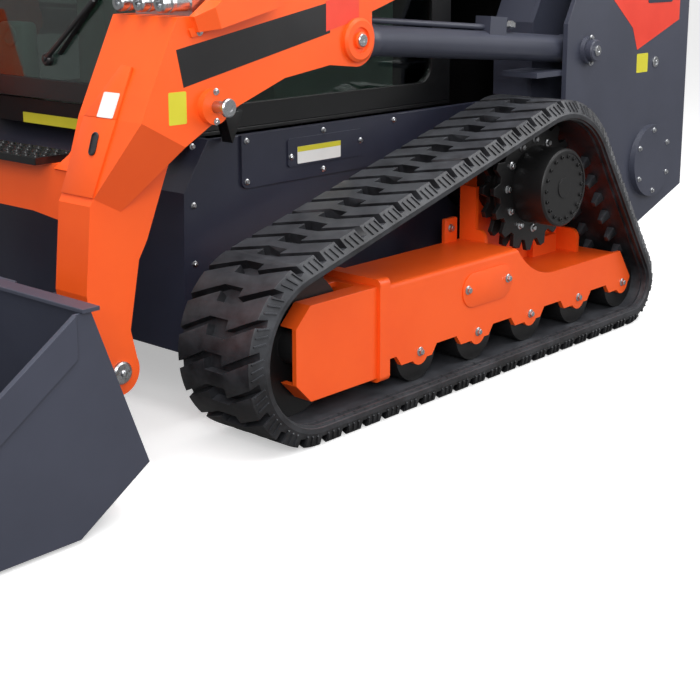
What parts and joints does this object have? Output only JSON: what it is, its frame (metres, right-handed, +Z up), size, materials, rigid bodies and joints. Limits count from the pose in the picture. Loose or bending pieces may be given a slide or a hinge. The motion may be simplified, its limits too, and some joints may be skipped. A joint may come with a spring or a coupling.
{
  "type": "compact track loader",
  "caption": "Compact loader on triangular rubber tracks, with a hollow glazed cab, radial lift arms on rear towers, paired lift and tilt cylinders and a wide dirt bucket that curls and dumps.",
  "frame": {"origin": "On the ground under the middle of the whole machine, bucket included", "axes": "+X forward towards the bucket, +Y to the machine left, +Z up"},
  "size_m": [3.82, 2, 2.102],
  "materials": {
    "arm_paint": "gloss orange enamel",
    "slate_paint": "satin slate enamel",
    "chassis_paint": "satin dark blue-grey enamel",
    "black_paint": "semi-gloss black enamel",
    "track_rubber": "moulded rubber",
    "cab_glass": "clear",
    "seat_vinyl": "grained vinyl",
    "console_plastic": "moulded pale grey-green",
    "lamp_lens": "ribbed lens",
    "bare_steel": "plated",
    "chrome_rod": "polished"
  },
  "bodies": {
    "chassis": {"track_frame_left": "arm_paint", "track_frame_right": "arm_paint", "idler_yokes": "arm_paint", "tower_left": "slate_paint", "tower_right": "slate_paint", "rear_bumper": "slate_paint", "chassis_tub": "chassis_paint", "side_covers": "chassis_paint", "cab_floor": "black_paint", "cab_side_left": "black_paint", "cab_side_right": "black_paint", "cab_rear_wall": "black_paint", "cab_roof": "black_paint", "seat_pedestal": "black_paint", "drive_sprockets": "black_paint", "final_drives": "black_paint", "track_rollers": "black_paint", "front_idlers": "black_paint", "engine_block": "black_paint", "track_left": "track_rubber", "track_right": "track_rubber", "cab_windows": "cab_glass", "seat": "seat_vinyl", "consoles": "console_plastic", "work_lamps": "lamp_lens", "exhaust_stack": "bare_steel"},
    "lift_arm": {"lift_arm_left": "arm_paint", "lift_arm_right": "arm_paint", "arm_cross_member": "arm_paint", "step_plate": "black_paint", "aux_couplers": "bare_steel", "arm_pins": "bare_steel"},
    "lift_barrels": {"lift_barrels": "slate_paint"},
    "lift_rods": {"lift_rods": "chrome_rod"},
    "tilt_barrels": {"tilt_barrels": "slate_paint"},
    "tilt_rods": {"tilt_rods": "chrome_rod"},
    "bucket": {"bucket_shell": "slate_paint", "bucket_sides": "slate_paint", "bucket_edge": "bare_steel", "hitch_frame": "slate_paint"},
    "cab_door": {"door_frame": "black_paint", "door_glass": "cab_glass"},
    "engine_hood": {"engine_hood": "slate_paint"},
    "rear_door": {"rear_door": "slate_paint"}
  },
  "joints": [
    {"name": "lift", "type": "hinge", "parent": "chassis", "child": "lift_arm", "pos_m": [-1.55, 0, 1.72], "axis": [0, -1, 0], "range_deg": [0, 62]},
    {"name": "lift_barrel_swing", "type": "hinge", "parent": "chassis", "child": "lift_barrels", "pos_m": [-1.172, 0, 1.007], "axis": [0, -1, 0], "range_deg": [-0.5, 59.4]},
    {"name": "lift_rod_slide", "type": "slide", "parent": "lift_barrels", "child": "lift_rods", "axis": [0.9969, 0, 0.079], "range_m": [-0.004, 0.83095]},
    {"name": "bucket_tilt", "type": "hinge", "parent": "lift_arm", "child": "bucket", "pos_m": [0.807, 0, 0.286], "axis": [0, 1, 0], "range_deg": [-25, 104]},
    {"name": "tilt_barrel_swing", "type": "hinge", "parent": "lift_arm", "child": "tilt_barrels", "pos_m": [0.566, 0, 0.964], "axis": [0, 1, 0], "range_deg": [-1.18, 0.66]},
    {"name": "tilt_rod_slide", "type": "slide", "parent": "tilt_barrels", "child": "tilt_rods", "axis": [0.4399, 0, -0.8981], "range_m": [-0.05734, 0.22589]},
    {"name": "cab_door_swing", "type": "hinge", "parent": "chassis", "child": "cab_door", "pos_m": [0.40132, 0.487, 1.43455], "axis": [-0.0843, 0, 0.9964], "range_deg": [0, 90]},
    {"name": "engine_hood_lift", "type": "hinge", "parent": "chassis", "child": "engine_hood", "pos_m": [-0.884, 0, 1.438], "axis": [0, 1, 0], "range_deg": [0, 60]},
    {"name": "rear_door_swing", "type": "hinge", "parent": "chassis", "child": "rear_door", "pos_m": [-1.901, -0.551, 0.9], "axis": [0, 0, 1], "range_deg": [0, 100]}
  ],
  "couplings": [
    {"joint": "lift_barrel_swing", "follows": "lift", "ratio": 0.94992},
    {"joint": "lift_rod_slide", "follows": "lift", "m_per_rad": 0.76421},
    {"joint": "tilt_barrel_swing", "follows": "bucket_tilt", "ratio": -0.006515},
    {"joint": "tilt_rod_slide", "follows": "bucket_tilt", "m_per_rad": 0.12224}
  ]
}
